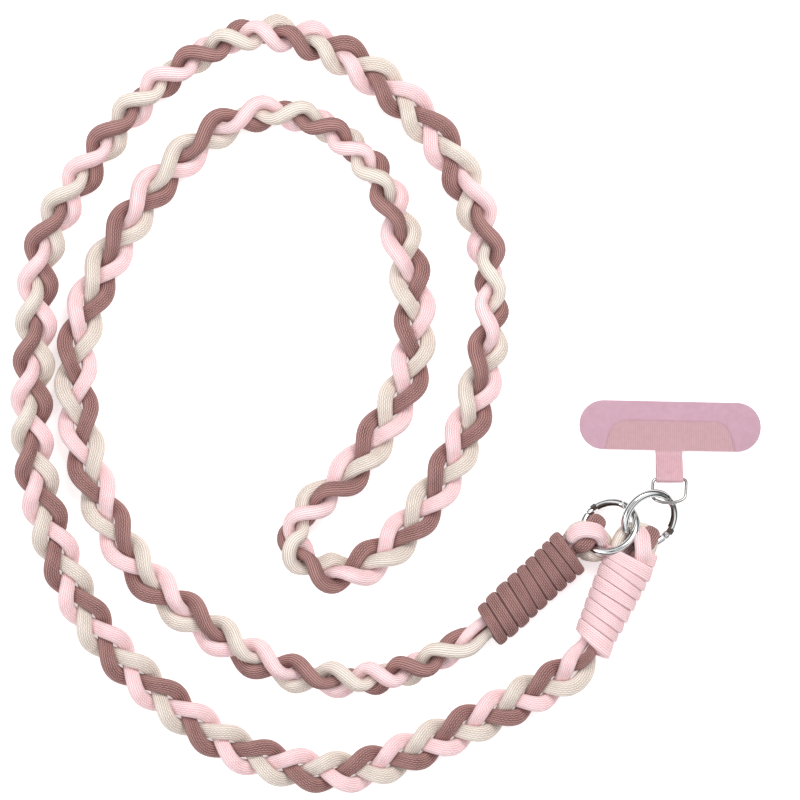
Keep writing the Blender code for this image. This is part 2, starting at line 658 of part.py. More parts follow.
def make_patch(finish, collection):
    """The bonded patch with its tongue, cut as one cloth: the tongue leaves the pad's edge, turns a
    little as it climbs to the D-ring's bar, goes round the bar and comes back below to the pad."""
    _, bar = d_ring_frame()
    fold = D_WIRE / 2 + CLEARANCE + CLOTH_THICKNESS / 2
    on_pad = PAD_THICKNESS + CLEARANCE + CLOTH_THICKNESS / 2
    under = CLOTH_THICKNESS / 2 + TABLE_GAP
    turn = Matrix.Rotation(TAB_TURN, 3, "Z")
    centre = pad_middle(on_pad)
    half = TONGUE_WIDTH / 2
    shift = bar.x - centre.x
    outline = patch_outline()
    foot_y = -PAD_DEPTH / 2
    split = [Vector((shift - half, foot_y, 0)), Vector((shift + half, foot_y, 0))]
    outline = outline[:-1] + split + outline[-1:]
    shape = bmesh.new()
    verts = [shape.verts.new(centre + turn @ point) for point in outline]
    shape.faces.new(verts)
    pair = [verts[-3], verts[-2]]
    start_y = (pair[0].co.y + pair[1].co.y) / 2
    low_y = start_y - CLEARANCE * 1.6
    rise = math.atan2(bar.z + fold - on_pad, start_y - TONGUE_BEND - bar.y)
    fall = math.atan2(bar.z - fold - under, low_y - TONGUE_BEND - bar.y)
    start, sweep = math.pi / 2 - rise, math.pi + rise - fall
    top = Vector((0, bar.y + fold * math.cos(start), bar.z + fold * math.sin(start)))
    profile = [Vector((0, start_y - TONGUE_BEND, on_pad + TONGUE_BEND / 10))]
    profile.append(profile[0].lerp(top, 0.5))
    for step in range(9):
        angle = start + sweep * step / 8
        profile.append(Vector((0, bar.y + fold * math.cos(angle), bar.z + fold * math.sin(angle))))
    low = Vector((0, low_y - TONGUE_BEND, under + TONGUE_BEND / 10))
    profile += [profile[-1].lerp(low, 0.5), low, Vector((0, low_y, under))]
    for point in profile:
        near_bar = ease((start_y - point.y) / (start_y - bar.y))
        tilt = math.tan(D_ROLL) * near_bar
        row = []
        for side in (-half, half):
            row.append(shape.verts.new((bar.x + side, point.y, point.z + side * tilt)))
        shape.faces.new((pair[0], pair[1], row[1], row[0]))
        pair = row
    made = add_mesh("tab_patch", shape, finish, collection)
    wall = made.modifiers.new("cloth", "SOLIDIFY")
    wall.thickness = CLOTH_THICKNESS * MM
    wall.offset = 0
    wall.use_even_offset = True
    return made


def make_d_ring(finish, collection):
    """A bent wire: a straight bar, two sides and a bowed foot, leaning up from the tongue's fold."""
    half = D_WIDTH / 2
    box = [Vector((-half, 0, 0)), Vector((half, 0, 0)), Vector((half, -D_SIDE, 0)), Vector((-half, -D_SIDE, 0))]
    points = rounded_corner(box[3], box[0], box[1], D_CORNER, 4)
    points += rounded_corner(box[0], box[1], box[2], D_CORNER, 4)
    bow_steps = 8
    for step in range(bow_steps + 1):
        angle = math.pi * step / bow_steps
        drop = math.sin(angle) ** 0.8 if 0 < step < bow_steps else 0.0
        points.append(Vector((half * math.cos(angle), -D_SIDE - D_BOW * drop, 0)))
    curve = bpy.data.curves.new("d_ring", "CURVE")
    curve.dimensions = "3D"
    curve.bevel_depth = D_WIRE / 2 * MM
    curve.bevel_resolution = 1
    line = curve.splines.new("POLY")
    line.points.add(len(points) - 1)
    for spot, point in zip(line.points, points):
        spot.co = (*(point * MM), 1)
    line.use_cyclic_u = True
    curve.materials.append(finish)
    made = bpy.data.objects.new("d_ring", curve)
    collection.objects.link(made)
    turn, bar = d_ring_frame()
    made.location = bar * MM
    made.rotation_euler = turn.to_euler()
    return made


def main():
    for old in list(bpy.data.objects):
        bpy.data.objects.remove(old)
    pieces = bpy.data.collections.new("phone_crossbody_strap")
    cutters = bpy.data.collections.new("cutters")
    for collection in (pieces, cutters):
        bpy.context.scene.collection.children.link(collection)
    finishes = {
        "cord_mauve": material("mauve_cord", (0.27, 0.15, 0.15), 0.85),
        "cord_cream": material("cream_cord", (0.68, 0.59, 0.52), 0.85),
        "cord_pink": material("pink_cord", (0.84, 0.52, 0.56), 0.85),
    }
    steel = material("polished_steel", (0.75, 0.75, 0.76), 0.15, 1.0)
    tab_cloth = material("tab_cloth", (0.78, 0.42, 0.55), 0.7)
    patch_cloth = material("patch_cloth", (0.76, 0.45, 0.52), 0.7)

    strap = Strap()
    for cord, finish in finishes.items():
        stations = carry_thin_way(follow_own_line(cord_stations(strap, cord)))
        add_mesh(cord, loft(stations, CORD_SIDES), finish, pieces)
    for colour in WHIPS:
        coil = loft(whipping_stations(strap, colour), WRAP_SIDES)
        add_mesh("whip_" + colour, coil, finishes["cord_" + colour], pieces)
    for letter in RINGS:
        make_ring(letter, steel, pieces, cutters)
    make_d_ring(steel, pieces)
    plate("tab_pad", pad_outline(), 0.0, PAD_THICKNESS, tab_cloth, pieces)
    make_patch(patch_cloth, pieces)


main()
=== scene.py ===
"""The looks of a phone crossbody strap that lies flat: three braided cords plaited together, whipped at
both ends, looped over two linked spring-gate rings, with a D-ring on a cloth tether tab."""

import math

import bmesh
import bpy
from mathutils import Euler, Matrix, Vector


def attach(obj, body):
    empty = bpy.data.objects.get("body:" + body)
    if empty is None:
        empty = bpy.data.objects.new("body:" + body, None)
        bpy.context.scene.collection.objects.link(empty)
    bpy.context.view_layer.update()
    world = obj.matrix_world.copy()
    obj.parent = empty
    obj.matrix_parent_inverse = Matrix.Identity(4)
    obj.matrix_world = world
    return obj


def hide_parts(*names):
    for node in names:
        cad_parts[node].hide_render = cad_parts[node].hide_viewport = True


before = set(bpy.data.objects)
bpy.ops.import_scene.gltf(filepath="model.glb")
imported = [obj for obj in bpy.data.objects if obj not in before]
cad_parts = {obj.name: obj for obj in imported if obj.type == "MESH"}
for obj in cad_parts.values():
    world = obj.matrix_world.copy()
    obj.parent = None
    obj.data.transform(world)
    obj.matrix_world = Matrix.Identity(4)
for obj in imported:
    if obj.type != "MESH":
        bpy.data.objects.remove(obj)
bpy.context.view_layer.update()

# The surface, the light and the camera
# The strap lies on a white sweep and is seen from straight above. A broad overhead light and a paler one
# from the lower left leave soft shade between the cords, and a dim horizon draws dark lines in the metal.
MM = 0.001
VIEW_WIDTH = 800 / 3
VIEW_CENTRE = (4.2, 1.4)
CAMERA_HEIGHT = 2000
FOCUS_HEIGHT = 6
SENSOR = 36
SWEEP_SIZE = 3000

bpy.context.scene.view_settings.view_transform = "Standard"
lens = bpy.data.cameras.new("camera")
lens.sensor_width = SENSOR
lens.lens = SENSOR * (CAMERA_HEIGHT - FOCUS_HEIGHT) / VIEW_WIDTH
lens.clip_end = 20
camera = bpy.data.objects.new("camera", lens)
camera.location = Vector((*VIEW_CENTRE, CAMERA_HEIGHT)) * MM
bpy.context.scene.collection.objects.link(camera)
bpy.context.scene.camera = camera


def soft_light(name, place, size, power, colour):
    lamp = bpy.data.lights.new(name, "AREA")
    lamp.size = size * MM
    lamp.energy = power
    lamp.color = colour
    made = bpy.data.objects.new(name, lamp)
    made.location = Vector(place) * MM
    made.rotation_euler = (-made.location).to_track_quat("-Z", "Y").to_euler()
    bpy.context.scene.collection.objects.link(made)


soft_light("key_light", (250, 500, 900), 600, 6.4, (1.0, 0.98, 0.96))
soft_light("fill_light", (-700, -300, 700), 500, 2.0, (0.94, 0.97, 1.0))

world = bpy.data.worlds.new("studio")
bpy.context.scene.world = world
world.use_nodes = True
sky = world.node_tree
rise = sky.nodes.new("ShaderNodeTexCoord")
height = sky.nodes.new("ShaderNodeSeparateXYZ")
bands = sky.nodes.new("ShaderNodeValToRGB")
sky.links.new(rise.outputs["Generated"], height.inputs[0])
sky.links.new(height.outputs["Z"], bands.inputs[0])
sky.links.new(bands.outputs[0], sky.nodes["Background"].inputs["Color"])
for index, (position, level) in enumerate((
    (0.0, 0.04), (1.0, 1.0), (0.3, 0.03), (0.38, 0.5), (0.46, 0.1), (0.6, 1.5), (0.8, 1.7), (0.87, 0.7),
    (0.93, 0.15), (0.97, 1.0),
)):
    elements = bands.color_ramp.elements
    stop = elements[index] if index < 2 else elements.new(position)
    stop.position = position
    stop.color = (level * 0.98, level, level * 1.02, 1)
sky.nodes["Background"].inputs["Strength"].default_value = 0.9


# How finishes are written
# Arithmetic on a socket adds Math nodes, and every other node is added by one method.
class Shade:
    """A socket in a material's node tree."""

    def __init__(self, tree, socket=None):
        self.tree = tree
        self.socket = socket

    def node(self, kind, sockets=None, out=0, **settings):
        """Adds a node: its settings first, then the values or links of its sockets, by name or number."""
        made = self.tree.nodes.new(kind)
        for name, value in settings.items():
            setattr(made, name, value)
        for name, value in (sockets or {}).items():
            if isinstance(value, Shade):
                self.tree.links.new(value.socket, made.inputs[name])
            else:
                made.inputs[name].default_value = value
        return Shade(self.tree, made.outputs[out])

    def math(self, operation, *values):
        return self.node("ShaderNodeMath", dict(enumerate(values)), operation=operation)

    def __add__(self, other):
        return self.math("ADD", self, other)

    def __sub__(self, other):
        return self.math("SUBTRACT", self, other)

    def __rsub__(self, other):
        return self.math("SUBTRACT", other, self)

    def __mul__(self, other):
        return self.math("MULTIPLY", self, other)

    def __truediv__(self, other):
        return self.math("DIVIDE", self, other)

    def __mod__(self, other):
        return self.math("FLOORED_MODULO", self, other)

    def __pow__(self, other):
        return self.math("POWER", self, other)

    def call(self, operation):
        """The cosine, the floor or another such function of this number."""
        return self.math(operation, self)

    def parts(self):
        """The three numbers of a vector."""
        return [self.node("ShaderNodeSeparateXYZ", {0: self}, out=index) for index in range(3)]

    def blend(self, low, high):
        """A colour between two others, by this number."""
        return self.node(
            "ShaderNodeMix", {0: self, 6: low, 7: high}, out=2, data_type="RGBA", clamp_factor=True
        )

    def limits(self, low, high, start=0.0, end=1.0):
        """This number read from low to high as start to end, and held there."""
        return self.node("ShaderNodeMapRange", {0: self, 1: low, 2: high, 3: start, 4: end})


def new_finish(name):
    """A material, and its node tree as a place to add nodes."""
    made = bpy.data.materials.new(name)
    made.use_nodes = True
    return made, Shade(made.node_tree)


def coat(finish, varying, fixed=None):
    """Sets the Principled shader's sockets: those that vary over the surface, and those that don't."""
    shader = finish.node_tree.nodes["Principled BSDF"]
    for name, value in varying.items():
        finish.node_tree.links.new(value.socket, shader.inputs[name])
    for name, value in (fixed or {}).items():
        shader.inputs[name].default_value = value


# The braided cord
# Each cord is a tube of polyester yarns braided over a soft core, about 5 mm wide. The yarns show as ribs
# along the cord whose stitches slant to one side and the other in turn, like a herringbone.
CORD_RIBS = 20
STITCH_LENGTH = 1.05
STITCH_SLANT = 0.95
CORD_COLOURS = {
    "cord_mauve": ("mauve_cord", (0.48, 0.265, 0.247), (0.060, 0.021, 0.018)),
    "cord_cream": ("cream_cord", (0.93, 0.83, 0.75), (0.45, 0.36, 0.30)),
    "cord_pink": ("pink_cord", (1.0, 0.80, 0.81), (0.80, 0.40, 0.43)),
}
FLANK_SHADE = {"mauve": 0.9, "pink": 0.55}


def braided_finish(name, light, dark, flank_shade=0.0):
    """A cord's finish. Where cords lie side by side in a whipping, their flanks lose light by a share."""
    finish, tree = new_finish(name)
    along, around, _ = tree.node("ShaderNodeUVMap", uv_map="cord").parts()
    rib = around * CORD_RIBS
    within = rib % 1.0
    leaning = (rib.call("FLOOR") % 2.0) * 2.0 - 1.0
    ridge = (within - within * within) * 4.0
    stitch = along / STITCH_LENGTH + leaning * (within * STITCH_SLANT + 0.25)
    grain = (stitch * math.tau).call("COSINE") * 0.5 + 0.5
    side = (around * math.tau).call("COSINE").call("ABSOLUTE")
    stitched = side.limits(0.35, 0.95, 0.65, 0.25)
    relief = (ridge ** 0.8) * (grain * stitched + (1.0 - stitched))
    place = tree.node("ShaderNodeTexCoord", out="Object")
    patches = tree.node("ShaderNodeTexNoise", {"Vector": place, "Scale": 260.0, "Detail": 2.0})
    fibres = tree.node("ShaderNodeTexNoise", {"Vector": place, "Scale": 2600.0, "Detail": 1.0})
    tone = relief.limits(0.05, 0.85) * 1.05 + (patches - 0.5) * 0.3 + (fibres - 0.5) * 0.4 + 0.02
    tone = tone * (1.0 - side.limits(0.8, 1.0) * flank_shade)
    colour = tone.blend((*dark, 1), (*light, 1))
    bump = tree.node("ShaderNodeBump", {"Strength": 0.8, "Distance": 0.0003, "Height": relief})
    coat(finish, {"Base Color": colour, "Normal": bump}, {
        "Roughness": 0.85, "Sheen Weight": 0.06, "Sheen Roughness": 0.4, "Specular IOR Level": 0.12})
    return finish


cord_finishes = {cord: braided_finish(*values) for cord, values in CORD_COLOURS.items()}
wrap_finishes = {}
for wrap, shade in FLANK_SHADE.items():
    _, *tones = CORD_COLOURS["cord_" + wrap]
    wrap_finishes[wrap] = braided_finish("wrapped_" + wrap, *tones, flank_shade=shade)

# The line of the strap
# The plait runs from its mauve whipping round two rough ovals to its pink one. Its points are given on
# the plan, in millimetres from a corner of the sheet, and the whippings carry on from its ends.
PLAN_CENTRE = (129.1, 131.9)
UP = Vector((0, 0, 1))
ROUTE = (
    (162.0, 57.7), (146.7, 48.3), (132.5, 42.3), (116.0, 40.0), (99.5, 41.8), (84.0, 47.6), (69.8, 56.7),
    (56.2, 66.9), (44.8, 78.8), (36.4, 92.7), (30.4, 108.0), (26.6, 124.0), (25.2, 140.8), (27.0, 157.3),
    (32.3, 172.7), (49.3, 201.6), (60.7, 213.6), (73.4, 223.8), (89.0, 229.0), (105.3, 226.0),
    (118.3, 216.7), (128.7, 203.3), (137.2, 171.2), (138.3, 154.7), (135.0, 138.2), (117.5, 110.2),
    (105.0, 99.2), (97.0, 86.5), (108.0, 76.0), (124.2, 79.8), (146.2, 104.5), (159.2, 135.0),
    (163.7, 168.0), (157.2, 200.7), (139.5, 228.3), (113.5, 248.7), (97.5, 254.8), (81.5, 255.0),
    (53.2, 238.7), (31.3, 213.5), (14.9, 184.8), (11.7, 151.9), (10.8, 118.7), (17.8, 86.5), (32.3, 56.5),
    (55.7, 32.8), (83.2, 14.8), (115.8, 9.4), (147.0, 20.6), (177.0, 35.3), (189.5, 42.2), (196.8, 51.6),
)
PLAIT_TABLE = (
    (0.000, -0.5, 85), (0.007, -0.3, 88), (0.043, 3.0, 112), (0.114, 9.0, 165), (0.183, 15.0, 195),
    (0.218, 18.0, 215), (0.272, 22.5, 262), (0.310, 26.3, 300), (0.335, 28.5, 345), (0.384, 33.0, 372),
    (0.412, 35.3, 440), (0.453, 39.0, 525), (0.500, 43.3, 560), (0.519, 45.0, 595), (0.540, 46.9, 650),
    (0.584, 51.0, 718), (0.615, 53.9, 750), (0.645, 57.0, 800), (0.680, 60.2, 828), (0.712, 63.0, 845),
    (0.778, 69.0, 872), (0.839, 75.0, 900), (0.905, 81.2, 903), (0.968, 87.6, 905), (0.992, 90.1, 905),
    (1.000, 90.5, 905),
)
CROSSINGS, ROLL = 1, 2
PLAIT_SETTLE = 16.0
REST_WIDTH = 6.97
REST_DEPTH = 4.4
REST_LIFT = 0.5
WHIPS = {
    "mauve": {
        "mouth": (190.5, 84.7), "faces": 43, "mouth_height": 8.3, "foot_radius": 7.7, "pack_radius": 2.75,
    },
    "pink": {
        "mouth": (208.7, 78.0), "faces": 73, "mouth_height": 8.8, "foot_radius": 7.4, "pack_radius": 3.1,
    },
}


def in_plan(point, height=0.0):
    """A plan point, measured from the corner of the sheet, as a place about the strap's own origin."""
    return Vector((point[0] - PLAN_CENTRE[0], point[1] - PLAN_CENTRE[1], height))


def smooth_line(points, spacing):
    """Evenly spaced points on the centripetal Catmull-Rom curve through the given points."""
    ends = [points[0] * 2 - points[1], *points, points[-1] * 2 - points[-2]]
    line = []
    for first, second, third, fourth in zip(ends, ends[1:], ends[2:], ends[3:]):
        knots = [0.0]
        for here, there in ((first, second), (second, third), (third, fourth)):
            knots.append(knots[-1] + math.sqrt((there - here).length))
        pieces = max(2, round((third - second).length / spacing) * 4)
        for piece in range(pieces):
            at = knots[1] + (knots[2] - knots[1]) * piece / pieces

            def between(low, high, start, end):
                return low + (high - low) * ((at - start) / (end - start))

            near = between(first, second, knots[0], knots[1])
            middle = between(second, third, knots[1], knots[2])
            far = between(third, fourth, knots[2], knots[3])
            left = between(near, middle, knots[0], knots[2])
            right = between(middle, far, knots[1], knots[3])
            line.append(between(left, right, knots[1], knots[2]))
    line.append(points[-1])
    return line


class Path:
    """A dense line that can be read at any distance along it."""

    def __init__(self, points):
        self.points = points
        self.marks = [0.0]
        for here, there in zip(points, points[1:]):
            self.marks.append(self.marks[-1] + (there - here).length)
        self.length = self.marks[-1]

    def at(self, distance):
        distance = min(max(distance, 0.0), self.length)
        low, high = 0, len(self.marks) - 1
        while high - low > 1:
            middle = (low + high) // 2
            if self.marks[middle] <= distance:
                low = middle
            else:
                high = middle
        share = (distance - self.marks[low]) / max(self.marks[high] - self.marks[low], 1e-9)
        return self.points[low].lerp(self.points[high], share)

    def heading(self, distance, reach=1.5):
        return (self.at(distance + reach) - self.at(distance - reach)).normalized()


def harmonic(one, other):
    """The slope to hold between two others, which is level where they differ in sign."""
    return 0.0 if one * other <= 0 else 2 * one * other / (one + other)


def table_value(share, column):
    """A value of the plait's table between its rows, eased so that no row shows as a kink."""
    rows = PLAIT_TABLE
    slopes = [(b[column] - a[column]) / (b[0] - a[0]) for a, b in zip(rows, rows[1:])]
    for index, (low, high) in enumerate(zip(rows, rows[1:])):
        if share <= high[0] or index == len(rows) - 2:
            break
    before = slopes[index] if index == 0 else harmonic(slopes[index - 1], slopes[index])
    after = slopes[index] if index == len(slopes) - 1 else harmonic(slopes[index], slopes[index + 1])
    width = high[0] - low[0]
    t = (share - low[0]) / width
    return (
        low[column] * (1 + 2 * t) * (1 - t) ** 2
        + before * width * t * (1 - t) ** 2
        + high[column] * t * t * (3 - 2 * t)
        + after * width * t * t * (t - 1)
    )


def ease(value):
    value = min(max(value, 0.0), 1.0)
    return value * value * (3 - 2 * value)


def ease_round(value):
    """The share of a half turn's way made good along a coil: slow at the flanks and quick over the top."""
    return (1 - math.cos(math.pi * min(max(value, 0.0), 1.0))) / 2


class Strap:
    """The strap's line, with the whipping at each end and the frame of left and up all along it."""

    def __init__(self):
        mauve, pink = WHIPS["mauve"], WHIPS["pink"]
        plan = [in_plan(mauve["mouth"]), *(in_plan(point) for point in ROUTE), in_plan(pink["mouth"])]
        level = Path(smooth_line(plan, 2.0))
        foot = min(range(len(level.points)), key=lambda i: (level.points[i] - plan[1]).length)
        end = min(range(len(level.points)), key=lambda i: (level.points[i] - plan[-2]).length)
        start, stop = level.marks[foot], level.marks[end]
        raised = []
        for point, mark in zip(level.points, level.marks):
            share = min(max((mark - start) / (stop - start), 0.0), 1.0)
            roll = math.radians(table_value(share, ROLL))
            height = math.hypot(REST_WIDTH * math.sin(roll), REST_DEPTH * math.cos(roll)) + REST_LIFT
            for whip, away in ((mauve, start - mark), (pink, mark - stop)):
                length = start if whip is mauve else level.length - stop
                lift = ease((away + PLAIT_SETTLE) / PLAIT_SETTLE)
                axis = whip["foot_radius"] + (whip["mouth_height"] - whip["foot_radius"]) * ease(
                    away / length
                )
                height = height * (1 - lift) + axis * lift
            raised.append(point + UP * height)
        self.path = Path(raised)
        self.start = self.path.marks[foot]
        self.stop = self.path.marks[end]

    def frame(self, distance):
        ahead = self.path.heading(distance)
        left = UP.cross(ahead).normalized()
        return self.path.at(distance), ahead, left, ahead.cross(left)

    def mouth(self, colour):
        """The middle of a whipping's open end, with the ways forward to the ring and left."""
        place = self.path.at(0.0 if colour == "mauve" else self.path.length)
        facing = math.radians(WHIPS[colour]["faces"])
        ahead = Vector((math.cos(facing), math.sin(facing), 0))
        return place, ahead, UP.cross(ahead)


strap = Strap()

# The three plaited cords
# Each cord crosses over the two others in turn, is flattened where it crosses, and goes on through the
# whipping at each end into a bight over the ring, whose tail is tucked back under the whipping.
CORD_WIDTH = 5.35
CORD_THICKNESS = 4.8
PLAIT_HALF_SPREAD = 4.35
PLAIT_HALF_RISE = 2.9
EDGE_FULLNESS = -0.05
DIVE_SQUEEZE_WIDTH = 0.07
DIVE_SQUEEZE_THICKNESS = 0.22
DIVE_ROLL = math.radians(20)
PLAIT_GATHER = 9.0
CORD_STEP = 0.8
CORD_SIDES = 24
CORD_ROUNDNESS = 2.25
TWIST_SHARE = 0.35
CORE_RADIUS = 2.4
CORE_CORD = 3.4
MOUTH_CORD = 3.4
BIGHT_WIDTH = 5.6
BIGHT_THICKNESS = 4.0
BIGHT_SWELL = 4.0
TAIL_DEPTH = 3.5
PACK_DEPTH = 5.0
CORE_DEPTH = 10.0
CROSSING_ORDER = {"cord_cream": 0, "cord_mauve": 1, "cord_pink": 2}
LOOPS = {
    "mauve": {
        "cord_pink": {"foot": 30, "stands": -120, "tail": 60, "loop": (
            (2.2, -2.8, -4.2), (4.6, -4.6, -4.4), (6.9, -5.8, -2.0), (8.8, -5.1, 1.4), (9.3, -2.0, 5.6),
            (6.4, 1.6, 6.6), (2.8, 2.6, 4.9))},
        "cord_mauve": {"foot": 270, "stands": 120, "tail": 300, "loop": (
            (2.4, -2.1, 4.0), (4.9, -2.1, 4.4), (7.6, -1.0, 2.8), (10.2, 0.2, 2.0), (12.1, 0.2, -0.8),
            (11.6, -0.4, -4.2), (9.6, -1.0, -6.1), (6.6, -0.8, -6.4), (3.0, 0.8, -5.2))},
        "cord_cream": {"foot": 150, "stands": 0, "tail": 180, "loop": (
            (2.2, 3.2, 0.2), (5.2, 3.2, 0.4), (7.6, 1.8, 0.2), (9.2, -0.4, -1.5), (9.6, -2.8, -2.2),
            (9.8, -5.4, -2.8), (8.8, -7.6, -4.0), (6.2, -8.8, -4.2), (3.6, -8.0, -2.2), (2.2, -6.0, -0.4))},
    },
    "pink": {
        "cord_pink": {"foot": 0, "stands": 90, "tail": 330, "loop": (
            (1.2, -2.8, 1.4), (3.4, -4.0, 2.6), (6.2, -3.7, 5.2), (9.6, -2.4, 4.6), (11.8, -1.7, 1.0),
            (11.6, -1.3, -2.8), (9.6, -1.0, -5.3), (6.4, 0.4, -5.2), (2.8, 2.6, -3.2))},
        "cord_mauve": {"foot": 120, "stands": 150, "tail": 270, "loop": (
            (3.0, -2.6, 1.4), (6.2, -2.7, 1.6), (9.2, -4.1, 2.4), (12.0, -4.9, 0.8), (13.2, -4.8, -2.8),
            (11.0, -4.4, -6.8), (7.4, -4.2, -7.1), (3.4, -1.8, -6.4))},
        "cord_cream": {"foot": 240, "stands": 210, "tail": 30, "loop": (
            (2.8, -4.6, -1.5), (6.0, -5.7, -0.6), (9.0, -5.9, -0.8), (11.6, -5.2, -2.4), (13.0, -3.4, -3.6),
            (13.2, -1.2, -3.6), (12.8, 1.4, -2.5), (11.4, 3.7, -1.2), (9.0, 4.8, -0.8), (6.2, 5.2, -0.6),
            (3.0, 4.7, 0.6))},
    },
}


def place_piece(name, shape, finish, body="strap"):
    """Turns a bmesh in millimetres into a piece in metres that rides on a body."""
    bmesh.ops.scale(shape, vec=(MM, MM, MM), verts=shape.verts)
    data = bpy.data.meshes.new(name)
    shape.to_mesh(data)
    shape.free()
    data.shade_smooth()
    data.set_sharp_from_angle(angle=math.radians(50))
    data.materials.append(finish)
    piece = bpy.data.objects.new(name, data)
    bpy.context.scene.collection.objects.link(piece)
    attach(piece, body)
    return piece


def plaited_section(cord, distance):
    """A cord's middle, its thin way and its half width and thickness at a distance along the plait."""
    place, _, left, up = strap.frame(distance)
    share = (distance - strap.start) / (strap.stop - strap.start)
    phase = math.tau * (0.25 + (table_value(share, CROSSINGS) - CROSSING_ORDER[cord]) / 3)
    across = PLAIT_HALF_SPREAD * (math.sin(phase) + EDGE_FULLNESS * math.sin(3 * phase))
    above = -PLAIT_HALF_RISE * math.sin(2 * phase)
    turn = DIVE_ROLL * math.copysign(abs(math.cos(phase)) ** 3, math.cos(phase))
    roll = math.radians(table_value(share, ROLL))
    side = left * math.cos(roll) + up * math.sin(roll)
    top = up * math.cos(roll) - left * math.sin(roll)
    squeeze = math.cos(phase) ** 2
    wide = CORD_WIDTH / 2 * (1 - DIVE_SQUEEZE_WIDTH * squeeze)
    thick = CORD_THICKNESS / 2 * (1 - DIVE_SQUEEZE_THICKNESS * squeeze)
    centre = place + side * across + top * above
    thin = top * math.cos(turn) + side * math.sin(turn)
    gap = min(distance - strap.start, strap.stop - distance)
    if gap < PLAIT_GATHER:
        weight = ease(gap / PLAIT_GATHER)
        colour = "mauve" if share < 0.5 else "pink"
        foot = LOOPS[colour][cord]["foot"]
        angle = math.radians(foot if colour == "pink" else 180 - foot)
        core = place + (left * math.cos(angle) + up * math.sin(angle)) * CORE_RADIUS
        centre = core.lerp(centre, weight)
        wide = CORE_CORD / 2 + (wide - CORE_CORD / 2) * weight
        thick = CORE_CORD / 2 + (thick - CORE_CORD / 2) * weight
    return centre, thin, wide, thick


def core_section(cord, colour, distance):
    """The same inside a whipping, where the cords bunch into a round core that opens at the mouth."""
    place, _, left, up = strap.frame(distance)
    span = strap.start if colour == "mauve" else strap.path.length - strap.stop
    depth = distance if colour == "mauve" else strap.path.length - distance
    loop = LOOPS[colour][cord]
    turned = loop["foot"] + (loop["stands"] - loop["foot"]) * (1 - ease(depth / span))
    angle = math.radians(turned if colour == "pink" else 180 - turned)
    opening = 1 - ease((depth - PACK_DEPTH) / (CORE_DEPTH - PACK_DEPTH))
    radius = CORE_RADIUS + (WHIPS[colour]["pack_radius"] - CORE_RADIUS) * opening
    out = left * math.cos(angle) + up * math.sin(angle)
    half = (CORE_CORD + (MOUTH_CORD - CORE_CORD) * opening) / 2
    return place + out * radius, None, half, half


def bight_sections(cord, colour):
    """The bight over the ring, from the standing cord in the mouth round to the tucked tail. The cord lies
    flat on the wire, with its thin way toward the middle of its own loop."""
    place, ahead, left = strap.mouth(colour)
    plan = LOOPS[colour][cord]
    pack = WHIPS[colour]["pack_radius"]

    def in_mouth(degrees, forward):
        angle = math.radians(degrees)
        return place + ahead * forward + left * pack * math.cos(angle) + UP * pack * math.sin(angle)

    points = [in_mouth(plan["stands"], 0.0)]
    for forward, leftward, upward in plan["loop"]:
        points.append(place + ahead * forward + left * leftward + UP * upward)
    points += [in_mouth(plan["tail"], 0.0), in_mouth(plan["tail"], -TAIL_DEPTH)]
    line = Path(smooth_line(points, 1.0))
    heart = sum(points[1:-2], Vector()) / len(points[1:-2])
    count = round(line.length / CORD_STEP)
    sections = []
    for step in range(1, count + 1):
        distance = line.length * step / count
        swell = ease(min(distance, line.length - TAIL_DEPTH - distance) / BIGHT_SWELL)
        wide = (MOUTH_CORD + (BIGHT_WIDTH - MOUTH_CORD) * swell) / 2
        thick = (MOUTH_CORD + (BIGHT_THICKNESS - MOUTH_CORD) * swell) / 2
        centre = line.at(distance)
        sections.append((centre, (centre - heart).normalized(), wide, thick))
    return sections


def cord_sections(cord):
    """All the sections of one cord, from its tail in one whipping to its tail in the other."""
    sections = list(reversed(bight_sections(cord, "mauve")))
    count = round(strap.start / CORD_STEP)
    sections += [core_section(cord, "mauve", strap.start * step / count) for step in range(count)]
    span = strap.stop - strap.start
    count = round(span / CORD_STEP)
    sections += [plaited_section(cord, strap.start + span * step / count) for step in range(count + 1)]
    span = strap.path.length - strap.stop
    count = round(span / CORD_STEP)
    for step in range(1, count + 1):
        sections.append(core_section(cord, "pink", strap.stop + span * step / count))
    return sections + bight_sections(cord, "pink")


